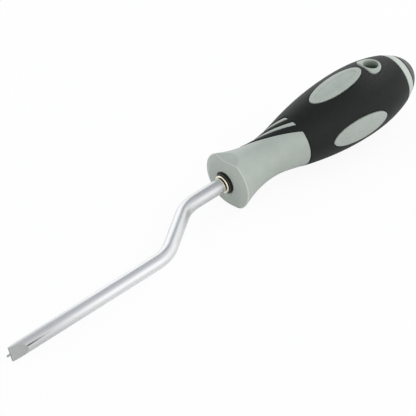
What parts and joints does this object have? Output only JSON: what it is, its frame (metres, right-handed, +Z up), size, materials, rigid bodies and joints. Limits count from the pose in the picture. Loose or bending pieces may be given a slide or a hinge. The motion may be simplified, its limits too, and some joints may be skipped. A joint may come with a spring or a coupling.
{
  "type": "spoke nipple screwdriver",
  "caption": "Cranked hand screwdriver for spoke nipples: a bent plated bar with a ground blade and pilot pin turns freely in a soft-grip handle with a hanging hole.",
  "frame": {"origin": "centre of the box on the surface that the tool lies on", "axes": "+X from the blade to the butt, +Z up, with the handle's axis leaning nose down by 4.3 degrees as it lies"},
  "size_m": [0.2292, 0.0368, 0.0315],
  "materials": {
    "grey_plastic": "fine moulded satin",
    "black_rubber": "soft matt overmoulding",
    "black_plastic": "satin moulding",
    "black_nylon": "smooth bearing nylon",
    "plated_steel": "satin chrome plate, ground at the blade",
    "bright_steel": "bright spring steel",
    "plain_steel": "plain turned steel"
  },
  "bodies": {
    "handle": {"handle_core": "grey_plastic", "rubber_grip": "black_rubber", "butt_cap": "black_plastic", "front_bush": "black_nylon", "spacer_tube": "plain_steel", "rear_bush": "black_nylon"},
    "crank": {"crank_shaft": "plated_steel", "thrust_washer": "black_nylon", "snap_ring": "bright_steel", "rear_washer": "plain_steel", "rear_circlip": "plain_steel"}
  },
  "joints": [
    {"name": "crank_spin", "type": "hinge", "parent": "handle", "child": "crank", "pos_m": [0.01228, 0.00283, 0.01062], "axis": [0.9972, 0, 0.0753], "continuous": true}
  ]
}
